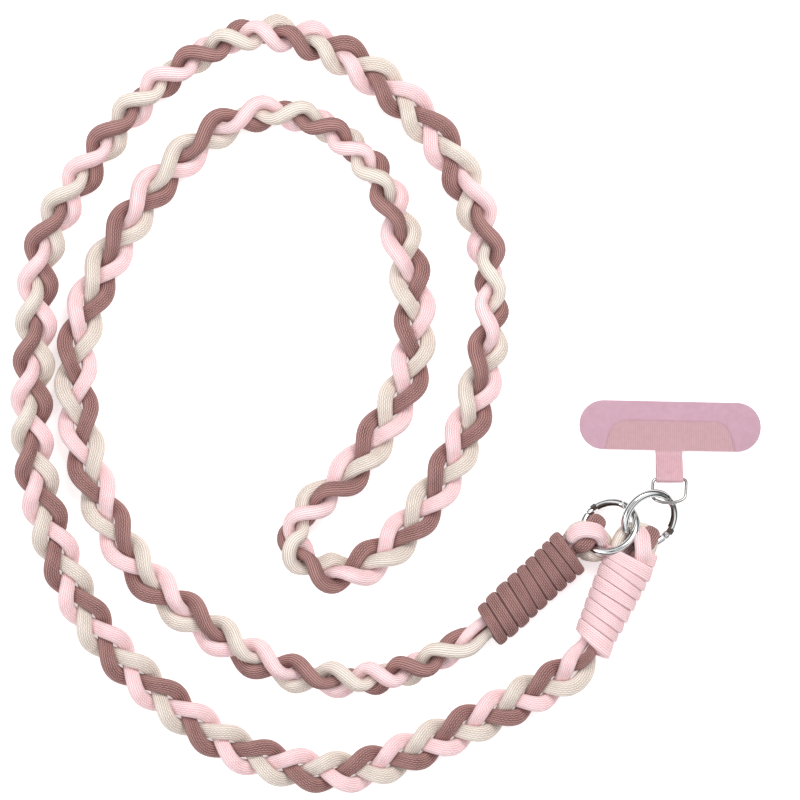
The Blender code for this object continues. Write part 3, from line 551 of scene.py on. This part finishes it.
def cord_skin(sections, sides, roundness):
    """A closed skin through a cord's sections, square to its line, that lies flat where it meets the
    table. Its UV map is the distance along the cord in millimetres and the share of the way round it."""
    centres = [section[0] for section in sections]
    ends = [centres[0] * 2 - centres[1], *centres, centres[-1] * 2 - centres[-2]]
    rings, marks, shares, thin = [], [], [], None
    for index, (centre, way, wide, thick) in enumerate(sections):
        ahead = (ends[index + 2] - ends[index]).normalized()
        marks.append(0.0 if index == 0 else marks[-1] + (centre - centres[index - 1]).length)
        wanted = way or thin or UP
        if thin is not None and way is not None:
            wanted = thin.lerp(way, TWIST_SHARE)
        across = wanted.cross(ahead).normalized()
        thin = ahead.cross(across)
        ring = []
        for side in range(sides):
            angle = math.tau * side / sides
            x, y = math.cos(angle), math.sin(angle)
            x = math.copysign(abs(x) ** (2 / roundness), x)
            y = math.copysign(abs(y) ** (2 / roundness), y)
            point = centre + across * wide * x + thin * thick * y
            point.z = max(point.z, 0.0)
            ring.append(point)
        rings.append(ring)
        rounds = [0.0]
        for here, there in zip(ring, ring[1:] + ring[:1]):
            rounds.append(rounds[-1] + (there - here).length)
        shares.append([mark / rounds[-1] for mark in rounds])
    shape = bmesh.new()
    rows = len(sections) - 1
    bmesh.ops.create_grid(shape, x_segments=rows, y_segments=sides, size=0.5)
    cells = {
        vert: (round((vert.co.x + 0.5) * rows), round((vert.co.y + 0.5) * sides)) for vert in shape.verts
    }
    chart = shape.loops.layers.uv.new("cord")
    for face in shape.faces:
        for corner in face.loops:
            row, side = cells[corner.vert]
            corner[chart].uv = (marks[row], shares[row][side])
    for vert, (row, side) in cells.items():
        vert.co = rings[row][side % sides]
    bmesh.ops.remove_doubles(shape, verts=shape.verts, dist=1e-5)
    bmesh.ops.holes_fill(shape, edges=shape.edges, sides=sides)
    bmesh.ops.recalc_face_normals(shape, faces=shape.faces)
    return shape


for cord, (slot, _, _) in CORD_COLOURS.items():
    skin = cord_skin(cord_sections(cord), CORD_SIDES, CORD_ROUNDNESS)
    piece = place_piece("braided_" + cord, skin, cord_finishes[cord])
    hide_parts(cord)

# The two whippings
# A further length of the same cord is wound tightly round the three, over the top from right to left as
# seen toward the ring. Each crease between wraps, from the foot to the mouth, is given by how far forward
# it lies on the left and the right flank, and by the whipping's radius there.
WRAP_STEPS = 48
WRAP_SIDES = 20
WRAP_LEAD = 0.25
WRAP_TUCK = 3.0
TUCK_TURN = 0.2
WRAPS = {
    "mauve": {
        "shift": (-0.9, -0.9), "squash": 1.0, "thickness": 3.5, "roundness": 2.9, "short": 0.2,
        "creases": (
            (-37.6, -40.2, 7.3), (-33.6, -36.2, 7.6), (-28.8, -31.4, 8.0), (-23.8, -26.6, 7.9),
            (-19.4, -22.8, 7.8), (-15.6, -18.3, 7.9), (-11.5, -13.7, 7.8), (-7.8, -9.4, 7.9),
            (-4.4, -5.5, 8.1), (0.0, -1.9, 8.2),
        ),
    },
    "pink": {
        "shift": (-0.2, 3.3), "squash": 0.87, "thickness": 3.4, "roundness": 5.5, "short": 0.8,
        "creases": (
            (-25.5, -31.5, 6.9), (-20.9, -25.4, 7.2), (-17.5, -22.1, 7.6), (-13.4, -18.2, 7.9),
            (-10.0, -13.8, 8.2), (-5.5, -10.0, 8.4), (-1.3, -6.5, 8.6), (1.2, -3.1, 8.8), (5.0, 2.0, 8.9),
            (8.5, 6.6, 9.1),
        ),
    },
}


def wrap_sections(colour):
    """The sections of a whipping's cord from the foot to the mouth, with its two ends tucked in below."""
    looks, whip = WRAPS[colour], WHIPS[colour]
    place, ahead, left = strap.mouth(colour)
    creases = looks["creases"]
    wraps = len(creases) - 1
    reach = -creases[0][0]
    flanks = []
    for (left_low, right_low, low_radius), (left_high, right_high, high_radius) in zip(creases, creases[1:]):
        radius = (low_radius + high_radius) / 2
        flanks.append(((right_low + right_high) / 2, right_high - right_low, radius))
        flanks.append(((left_low + left_high) / 2, left_high - left_low, radius))
    first, last = -WRAP_LEAD, wraps - looks["short"]
    steps = round((last - first) * WRAP_STEPS)
    sections = []
    for step in range(steps + 1):
        turn = first + (last - first) * step / steps
        index = min(max(math.floor(turn * 2), 0), len(flanks) - 2)
        share = ease_round(turn * 2 - index)
        forward, width, radius = (a + (b - a) * share for a, b in zip(flanks[index], flanks[index + 1]))
        tuck = ease(1 - min(step, steps - step) / (WRAP_STEPS * TUCK_TURN)) * WRAP_TUCK
        away = min(max(-forward / reach, 0.0), 1.0)
        height = whip["foot_radius"] + (whip["mouth_height"] - whip["foot_radius"]) * ease(1 - away)
        shift = looks["shift"][0] + (looks["shift"][1] - looks["shift"][0]) * away
        angle = math.pi - math.tau * turn
        out = left * math.cos(angle) + UP * math.sin(angle) * looks["squash"]
        axis = place + ahead * forward + left * shift
        axis.z = height * looks["squash"]
        middle = axis + out * (radius - looks["thickness"] / 2 - tuck)
        sections.append((middle, out.normalized(), width / 2, looks["thickness"] / 2))
    return sections


for colour in WRAPS:
    skin = cord_skin(wrap_sections(colour), WRAP_SIDES, WRAPS[colour]["roundness"])
    piece = place_piece("wrapped_" + colour, skin, wrap_finishes[colour])
    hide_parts("whip_" + colour)

# The spring-gate rings
# Two round rings of nickel-plated wire, linked through each other. On each a gate is hinged on a rivet and
# hollow on its inner side, where its spring sits. Its nose meets the ring's end square to the line from
# the hinge.
RING_RADIUS = 9.2
RING_WIRE = 2.7
WIRE_SIDES = 24
RING_STEP = 3
END_BEVEL = 0.15
SHARP_EDGE = 0.8
GATE_SPAN = 77
GATE_GAP = 0.3
GATE_PIN_INSET = 0.9
GATE_HINGE_GAP = 0.3
KNUCKLE_RADIUS = 1.1
NOSE_SPARE = 12
NOSE_REACH = 4.0
RIVET_RADIUS = 0.6
RIVET_SIDES = 16
RIVET_PROUD = 0.12
RIVET_DOME = 0.2
CHANNEL_RIM = 0.12
CHANNEL_DEPTH = 1.0
CHANNEL_MOUTH = 10
CHANNEL_ENDS = (7, 6)
FACES_INWARD = 0.6
FACES_INWARD_AT_MOUTH = -0.1
RINGS = {
    "a": {"middle": (203.0, 91.0, 8.6), "rises_to": -60, "lean": 32, "hinge": 289, "gate_way": -1},
    "b": {"middle": (216.5, 93.7, 8.5), "rises_to": 140, "lean": 33, "hinge": 266, "gate_way": 1},
}


def nickel_finish(name, dull, bright):
    finish, tree = new_finish(name)
    place = tree.node("ShaderNodeTexCoord", out="Object")
    wear = tree.node("ShaderNodeTexNoise", {"Vector": place, "Scale": 900.0, "Detail": 3.0})
    haze = wear.limits(0.35, 0.75, 0.05, 0.12)
    tint = wear.blend((*dull, 1), (*bright, 1))
    ripple = tree.node("ShaderNodeTexNoise", {"Vector": place, "Scale": 300.0, "Detail": 1.0})
    bump = tree.node("ShaderNodeBump", {"Strength": 0.25, "Distance": 0.0001, "Height": ripple})
    coat(finish, {"Base Color": tint, "Roughness": haze, "Normal": bump}, {"Metallic": 1.0})
    return finish


nickel = nickel_finish("nickel", (0.50, 0.50, 0.50), (0.68, 0.68, 0.67))
# The D-ring takes a darker copy of the rings' nickel: painted shade on its thin wire.
d_nickel_painted_dark = nickel_finish("d_ring_nickel", (0.30, 0.29, 0.28), (0.46, 0.45, 0.44))
# The gate's sunk channel takes a dark, mottled brown: painted shade in its recess.
channel, tree = new_finish("gate_channel_painted_shade")
place = tree.node("ShaderNodeTexCoord", out="Object")
shade_mottle = tree.node("ShaderNodeTexNoise", {"Vector": place, "Scale": 900.0})
coat(channel, {"Base Color": shade_mottle.blend((0.05, 0.03, 0.02, 1), (0.16, 0.11, 0.08, 1))}, {
    "Roughness": 0.5, "Metallic": 0.6})


def ring_frame(ring):
    """Ring-to-strap matrix in millimetres: its own Y leans up, and Z is the ring's axis."""
    toward = math.radians(ring["rises_to"])
    lean = math.radians(ring["lean"])
    rising = Vector((math.cos(toward) * math.cos(lean), math.sin(toward) * math.cos(lean), math.sin(lean)))
    level = Vector((math.sin(toward), -math.cos(toward), 0))
    normal = level.cross(rising)
    turn = Matrix((level, rising, normal)).transposed().to_4x4()
    return Matrix.Translation(in_plan(ring["middle"], ring["middle"][2])) @ turn


def bent_wire(start, sweep, nose, away):
    """A round wire bent to the ring's radius, from one angle through another in degrees. Its end by the
    nose is cut off square to a way, and what is beyond goes."""
    shape = bmesh.new()
    across = Matrix.Rotation(math.pi / 2, 4, "X")
    bmesh.ops.create_circle(shape, cap_ends=True, segments=WIRE_SIDES, radius=RING_WIRE / 2, matrix=across)
    bmesh.ops.translate(shape, vec=(RING_RADIUS, 0, 0), verts=shape.verts)
    turned = Matrix.Rotation(math.radians(start), 3, "Z")
    bmesh.ops.rotate(shape, cent=(0, 0, 0), matrix=turned, verts=shape.verts)
    bmesh.ops.spin(
        shape, geom=shape.verts[:] + shape.edges[:] + shape.faces[:], cent=(0, 0, 0), axis=(0, 0, 1),
        angle=math.radians(sweep), steps=round(abs(sweep) / RING_STEP),
    )
    near = [face for face in shape.faces if (face.calc_center_median() - nose).length < NOSE_REACH]
    edges = {edge for face in near for edge in face.edges}
    verts = {vert for face in near for vert in face.verts}
    bmesh.ops.bisect_plane(
        shape, geom=[*verts, *edges, *near], plane_co=nose, plane_no=away, clear_outer=True
    )
    bmesh.ops.holes_fill(shape, edges=shape.edges[:])
    bmesh.ops.recalc_face_normals(shape, faces=shape.faces)
    joined = [edge for edge in shape.edges if len(edge.link_faces) == 2]
    ends = [edge for edge in joined if edge.calc_face_angle() > SHARP_EDGE]
    bmesh.ops.bevel(
        shape, geom=ends, offset=END_BEVEL, affect="EDGES", segments=2, profile=0.5, material=-1
    )
    return shape


def round_knuckle(shape, pin, behind):
    """Rounds the gate's end about its pin, so that it turns clear of the ring's end."""
    level = UP.cross(behind)
    for vert in shape.verts:
        along, aside = (vert.co - pin).dot(behind), (vert.co - pin).dot(level)
        if 0 < along < RING_WIRE and abs(aside) < RING_WIRE:
            room = math.sqrt(max(KNUCKLE_RADIUS ** 2 - along ** 2, 0.0))
            vert.co += level * (max(min(aside, room), -room) - aside)


def add_rivet(shape, degrees):
    """The hinge's rivet, whose domed heads stand a little proud of the gate's cheeks."""
    middle = Matrix.Rotation(math.radians(degrees), 4, "Z") @ Vector((RING_RADIUS, 0, 0))
    half = RING_WIRE / 2 + RIVET_PROUD
    made = bmesh.ops.create_cone(
        shape, cap_ends=True, segments=RIVET_SIDES, radius1=RIVET_RADIUS, radius2=RIVET_RADIUS,
        depth=2 * half, matrix=Matrix.Translation(middle),
    )
    rims = {edge for vert in made["verts"] for edge in vert.link_edges}
    rims = [edge for edge in rims if abs(edge.verts[0].co.z - edge.verts[1].co.z) < 1e-6]
    bmesh.ops.bevel(
        shape, geom=rims, offset=RIVET_DOME, affect="EDGES", segments=2, profile=0.5, material=-1
    )


def hollow_gate(shape, start, way):
    """Sinks the gate's inner side into a channel between its cheeks, which opens wide beside the hinge."""
    low, high = start + way * CHANNEL_ENDS[0], start + way * (GATE_SPAN - CHANNEL_ENDS[1])
    sunk = []
    for face in shape.faces:
        middle = face.calc_center_median()
        outward = Vector((middle.x, middle.y, 0)).normalized()
        angle = math.degrees(math.atan2(middle.y, middle.x))
        inside = 0 < (angle - min(low, high)) % 360 < abs(high - low)
        at_mouth = abs((angle - low + 180) % 360 - 180) < CHANNEL_MOUTH
        least = FACES_INWARD_AT_MOUTH if at_mouth else FACES_INWARD
        if inside and face.normal.dot(-outward) > least:
            sunk.append(face)
    bmesh.ops.inset_region(shape, faces=sunk, thickness=CHANNEL_RIM, use_even_offset=True)
    moved = {vert for face in sunk for vert in face.verts}
    for vert in moved:
        vert.co += Vector((vert.co.x, vert.co.y, 0)).normalized() * CHANNEL_DEPTH
    # The sunk faces take the gate's second finish, the channel's painted shade.
    for face in sunk:
        face.material_index = 1


for letter, ring in RINGS.items():
    way = ring["gate_way"]
    turned = ring_frame(ring)
    hinge_arc = math.degrees((GATE_PIN_INSET + GATE_HINGE_GAP) / RING_RADIUS)
    pin, nose = (
        Matrix.Rotation(math.radians(at), 3, "Z") @ Vector((RING_RADIUS, 0, 0))
        for at in (ring["hinge"], ring["hinge"] + way * GATE_SPAN)
    )
    chord = (nose - pin).normalized()
    body_start = ring["hinge"] + way * (GATE_SPAN - NOSE_SPARE)
    body_sweep = way * (360 - GATE_SPAN + NOSE_SPARE - hinge_arc)
    body = bent_wire(body_start, body_sweep, nose + chord * GATE_GAP, -chord)
    bmesh.ops.transform(body, matrix=turned, verts=body.verts)
    piece = place_piece("ring_body_" + letter, body, nickel)
    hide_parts("ring_" + letter)
    inset_arc = math.degrees(GATE_PIN_INSET / RING_RADIUS)
    gate_sweep = way * (GATE_SPAN + NOSE_SPARE + inset_arc)
    gate = bent_wire(ring["hinge"] - way * inset_arc, gate_sweep, nose, chord)
    round_knuckle(gate, pin, UP.cross(pin).normalized() * -way)
    hollow_gate(gate, ring["hinge"], way)
    add_rivet(gate, ring["hinge"])
    bmesh.ops.transform(gate, matrix=turned, verts=gate.verts)
    piece = place_piece("spring_gate_" + letter, gate, nickel, body="gate_" + letter)
    # The second finish is the dark painted shade of the gate's channel.
    piece.data.materials.append(channel)
    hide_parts("gate_" + letter)

# The D-ring
# A thin nickel wire bent to a straight bar, two short sides and a bowed foot. It hangs in the tongue's
# fold and lies up over the ring that is linked to it.
D_WIRE = 1.1
D_WIDTH = 11.2
D_SIDE = 5.4
D_BOW = 3.2
BOW_FULLNESS = 0.8
BOW_STEPS = 24
D_CORNER = 1.3
D_CORNER_STEPS = 8
D_PITCH = math.radians(25)
D_ROLL = math.radians(8.5)
HUNG_ON = "b"
HUNG_AT = math.radians(4.5)
HUNG_ASIDE = -0.87
CLEARANCE = 0.3


def rounded_corner(before, corner, after, radius, steps):
    """Points of the arc that rounds one corner of an outline."""
    inward, outward = (before - corner).normalized(), (after - corner).normalized()
    half = inward.angle(outward) / 2
    reach = radius / math.tan(half)
    middle = corner + (inward + outward).normalized() * (radius / math.sin(half))
    start, end = corner + inward * reach - middle, corner + outward * reach - middle
    sweep = start.angle(end)
    points = []
    for step in range(steps + 1):
        share = step / steps
        mixed = start * math.sin((1 - share) * sweep) + end * math.sin(share * sweep)
        points.append(middle + mixed / math.sin(sweep))
    return points


def d_ring_line():
    """The wire's line: the bar between two rounded corners, then the bowed foot from right to left."""
    half = D_WIDTH / 2
    box = [Vector((x * half, y, 0)) for x, y in ((-1, 0), (1, 0), (1, -D_SIDE), (-1, -D_SIDE))]
    points = rounded_corner(box[3], box[0], box[1], D_CORNER, D_CORNER_STEPS)
    points += rounded_corner(box[0], box[1], box[2], D_CORNER, D_CORNER_STEPS)
    for step in range(BOW_STEPS + 1):
        angle = math.pi * step / BOW_STEPS
        drop = math.sin(angle) ** BOW_FULLNESS if 0 < step < BOW_STEPS else 0.0
        points.append(Vector((half * math.cos(angle), -D_SIDE - D_BOW * drop, 0)))
    return points


curve = bpy.data.curves.new("d_ring_wire", "CURVE")
curve.dimensions = "3D"
curve.bevel_depth = D_WIRE / 2
curve.bevel_resolution = 4
line = curve.splines.new("POLY")
d_points = d_ring_line()
line.points.add(len(d_points) - 1)
for spot, point in zip(line.points, d_points):
    spot.co = (*point, 1)
line.use_cyclic_u = True
guide = bpy.data.objects.new("d_ring_guide", curve)
bent = bmesh.new()
bent.from_mesh(guide.to_mesh())
bpy.data.objects.remove(guide)
wire = ring_frame(RINGS[HUNG_ON]) @ (Vector((math.cos(HUNG_AT), math.sin(HUNG_AT), 0)) * RING_RADIUS)
seat = Vector((HUNG_ASIDE, (D_WIRE + RING_WIRE) / 2 + CLEARANCE - D_SIDE - D_BOW, 0))
pose = Euler((-D_PITCH, -D_ROLL, 0)).to_matrix()
bar = wire - pose @ seat
bmesh.ops.transform(bent, matrix=Matrix.Translation(bar) @ pose.to_4x4(), verts=bent.verts)
bmesh.ops.recalc_face_normals(bent, faces=bent.faces)
piece = place_piece("d_ring_wire", bent, d_nickel_painted_dark)
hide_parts("d_ring")

# The tether tab
# A pad of thin woven cloth that lies inside a phone case, with a ribbed patch bonded on it, pale at its
# cut sides. The patch and its tongue are one cloth: the tongue folds round the D-ring's bar and comes back
# below the pad.
PAD_LENGTH = 60.6
PAD_DEPTH = 16.4
PAD_THICKNESS = 0.7
PAD_END_FLAT = 0.4
PAD_CORNER = (PAD_DEPTH - PAD_END_FLAT) / 2
PAD_CORNER_STEPS = 14
PAD_EDGE = 0.18
TONGUE_REACH = 9.5
PAD_ASIDE = 0.4
TAB_TURN = math.radians(-1.2)
PATCH_FOOT = 43.2
PATCH_HEAD = 38.0
PATCH_DEPTH = 9.8
PATCH_CORNER = 6.0
PATCH_CORNER_STEPS = 10
PALE_FROM_FOOT = 0.9
CLOTH_THICKNESS = 0.6
TONGUE_WIDTH = 8.9
TONGUE_BEND = 1.0
TONGUE_DIP = 0.1
TONGUE_DROP = 0.48
TABLE_GAP = 0.05
FOLD_STEPS = 16
RUN_STEPS = 8
THREAD = 0.42
RIB = 0.62
PICK = 0.3


def woven_finish(name, light, dark):
    """Fine plain weave: threads each way on the cloth's own plan."""
    finish, tree = new_finish(name)
    x, y, _ = tree.node("ShaderNodeTexCoord", out="Object").parts()
    warp = (x * (math.tau / (THREAD * MM))).call("SINE") * 0.5 + 0.5
    weft = (y * (math.tau / (THREAD * MM))).call("SINE") * 0.5 + 0.5
    weave = warp * (1 - weft) + weft * (1 - warp)
    place = tree.node("ShaderNodeTexCoord", out="Object")
    patches = tree.node("ShaderNodeTexNoise", {"Vector": place, "Scale": 500.0, "Detail": 3.0})
    tone = weave * 0.7 + patches * 0.45
    bump = tree.node("ShaderNodeBump", {"Strength": 0.4, "Distance": 0.00008, "Height": weave})
    coat(finish, {"Base Color": tone.blend((*dark, 1), (*light, 1)), "Normal": bump}, {
        "Roughness": 0.7, "Sheen Weight": 0.15})
    return finish


def ribbed_finish(name, light, dark, tongue):
    """Ribs that run the way of the tongue, on cloth that is finely woven across them. The tongue, which
    the light reaches freely, is painted a clearer pink than the bonded patch: painted light."""
    finish, tree = new_finish(name)
    x, y, _ = tree.node("ShaderNodeTexCoord", out="Object").parts()
    ribs = (x * (math.tau / (RIB * MM))).call("SINE") * 0.3 + 0.5
    picks = (y * (math.tau / (PICK * MM))).call("SINE") * 0.5 + 0.5
    place = tree.node("ShaderNodeTexCoord", out="Object")
    patches = tree.node("ShaderNodeTexNoise", {"Vector": place, "Scale": 600.0, "Detail": 3.0})
    relief = ribs * 0.75 + picks * 0.25
    tone = relief * 0.7 + patches * 0.4
    # Past the patch's foot the colour turns to the tongue's lighter pink: painted light on the same cloth.
    foot = (pad_middle.y - PAD_DEPTH / 2) * MM
    free = y.limits(foot, foot - MM)
    colour = tone.blend((*dark, 1), free.blend((*light, 1), (*tongue, 1)))
    bump = tree.node("ShaderNodeBump", {"Strength": 0.5, "Distance": 0.0001, "Height": relief})
    coat(finish, {"Base Color": colour, "Normal": bump}, {"Roughness": 0.65, "Sheen Weight": 0.1})
    return finish


pad_middle = Vector((bar.x + PAD_ASIDE, bar.y + TONGUE_REACH + PAD_DEPTH / 2, 0))
pad_cloth = woven_finish("pad_cloth", (0.57, 0.35, 0.43), (0.36, 0.20, 0.255))
# The last colour in each is the tongue's lighter pink, painted light on the one cloth.
patch_cloth = ribbed_finish("patch_cloth", (0.57, 0.34, 0.37), (0.34, 0.195, 0.21), (0.76, 0.45, 0.51))
patch_edge = ribbed_finish("patch_edge", (0.78, 0.55, 0.56), (0.52, 0.34, 0.35), (0.76, 0.45, 0.51))


def pad_outline():
    half_length, half_depth = PAD_LENGTH / 2, PAD_DEPTH / 2
    box = [Vector((x * half_length, y * half_depth, 0)) for x, y in ((1, 1), (-1, 1), (-1, -1), (1, -1))]
    outline = []
    for index, corner in enumerate(box):
        outline += rounded_corner(box[index - 1], corner, box[(index + 1) % 4], PAD_CORNER, PAD_CORNER_STEPS)
    return outline


def patch_outline():
    foot = -PAD_DEPTH / 2
    head = foot + PATCH_DEPTH
    box = [
        Vector((PATCH_HEAD / 2, head, 0)), Vector((-PATCH_HEAD / 2, head, 0)),
        Vector((-PATCH_FOOT / 2, foot, 0)), Vector((PATCH_FOOT / 2, foot, 0)),
    ]
    outline = rounded_corner(box[3], box[0], box[1], PATCH_CORNER, PATCH_CORNER_STEPS)
    outline += rounded_corner(box[0], box[1], box[2], PATCH_CORNER, PATCH_CORNER_STEPS)
    return outline + box[2:]


turn = Matrix.Translation(pad_middle) @ Matrix.Rotation(TAB_TURN, 4, "Z")
pad = bmesh.new()
face = pad.faces.new([pad.verts.new(point) for point in pad_outline()])
grown = bmesh.ops.extrude_face_region(pad, geom=[face])
lifted = [item for item in grown["geom"] if isinstance(item, bmesh.types.BMVert)]
bmesh.ops.translate(pad, vec=UP * PAD_THICKNESS, verts=lifted)
rims = [edge for edge in pad.edges if abs(edge.verts[0].co.z - edge.verts[1].co.z) < 1e-6]
bmesh.ops.bevel(
    pad, geom=rims, offset=PAD_EDGE, affect="EDGES", segments=3, profile=0.5, material=-1
)
bmesh.ops.transform(pad, matrix=turn, verts=pad.verts)
bmesh.ops.recalc_face_normals(pad, faces=pad.faces)
piece = place_piece("cloth_pad", pad, pad_cloth)
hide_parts("tab_pad")


def tongue_profile(bar, fold, on_pad, under, start_y, low_y):
    """The tongue's middle line from the patch's foot, round the bar and back below the pad."""
    rise = math.atan2(bar.z + fold - on_pad, start_y - TONGUE_BEND - bar.y)
    fall = math.atan2(bar.z - fold - under, low_y - TONGUE_BEND - bar.y)
    start, sweep = math.pi / 2 - rise, math.pi + rise - fall
    rounds = []
    for step in range(FOLD_STEPS + 1):
        angle = start + sweep * step / FOLD_STEPS
        rounds.append(Vector((0, bar.y + fold * math.cos(angle), bar.z + fold * math.sin(angle))))
    first = Vector((0, start_y - TONGUE_BEND, on_pad + TONGUE_DIP))
    last = Vector((0, low_y - TONGUE_BEND, under + TONGUE_DIP))
    down = [first.lerp(rounds[0], step / RUN_STEPS) for step in range(RUN_STEPS)]
    back = [rounds[-1].lerp(last, step / RUN_STEPS) for step in range(1, RUN_STEPS + 1)]
    return down + rounds + back + [Vector((0, low_y, under))]


fold = D_WIRE / 2 + CLEARANCE + CLOTH_THICKNESS / 2
on_pad = PAD_THICKNESS + CLEARANCE + CLOTH_THICKNESS / 2
under = CLOTH_THICKNESS / 2 + TABLE_GAP
centre = pad_middle + UP * on_pad
half = TONGUE_WIDTH / 2
shift = bar.x - centre.x
outline = patch_outline()
foot_y = -PAD_DEPTH / 2
outline = outline[:-1] + [Vector((shift - half, foot_y, 0)), Vector((shift + half, foot_y, 0))] + outline[-1:]
cloth = bmesh.new()
flat_turn = Matrix.Rotation(TAB_TURN, 3, "Z")
corners = [cloth.verts.new(centre + flat_turn @ point) for point in outline]
cloth.faces.new(corners)
pair = [corners[-3], corners[-2]]
start_y = (pair[0].co.y + pair[1].co.y) / 2
for point in tongue_profile(bar, fold, on_pad, under, start_y, start_y - TONGUE_DROP):
    near_bar = ease((start_y - point.y) / (start_y - bar.y))
    tilt = math.tan(D_ROLL) * near_bar
    row = [cloth.verts.new((bar.x + side, point.y, point.z + side * tilt)) for side in (-half, half)]
    cloth.faces.new((pair[0], pair[1], row[1], row[0]))
    pair = row
bmesh.ops.recalc_face_normals(cloth, faces=cloth.faces)
bmesh.ops.solidify(cloth, geom=cloth.faces[:], thickness=CLOTH_THICKNESS)
cloth.normal_update()
for face in cloth.faces:
    on_patch = face.calc_center_median().y > start_y + PALE_FROM_FOOT
    face.material_index = int(on_patch and abs(face.normal.z) < 0.5)
piece = place_piece("cloth_tab", cloth, patch_cloth)
piece.data.materials.append(patch_edge)
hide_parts("tab_patch")

# The sweep under the strap
# A wide sheet of white paper, which takes no part in the object.
sweep_sheet = bmesh.new()
bmesh.ops.create_grid(sweep_sheet, x_segments=1, y_segments=1, size=SWEEP_SIZE / 2 * MM)
data = bpy.data.meshes.new("sweep")
sweep_sheet.to_mesh(data)
sweep_sheet.free()
paper, tree = new_finish("white_paper")
coat(paper, {}, {
    "Base Color": (0.93, 0.93, 0.93, 1), "Roughness": 0.9, "Emission Color": (1, 1, 1, 1),
    "Emission Strength": 0.42})
data.materials.append(paper)
sweep = bpy.data.objects.new("sweep", data)
sweep.location.z = -0.1 * MM
bpy.context.scene.collection.objects.link(sweep)
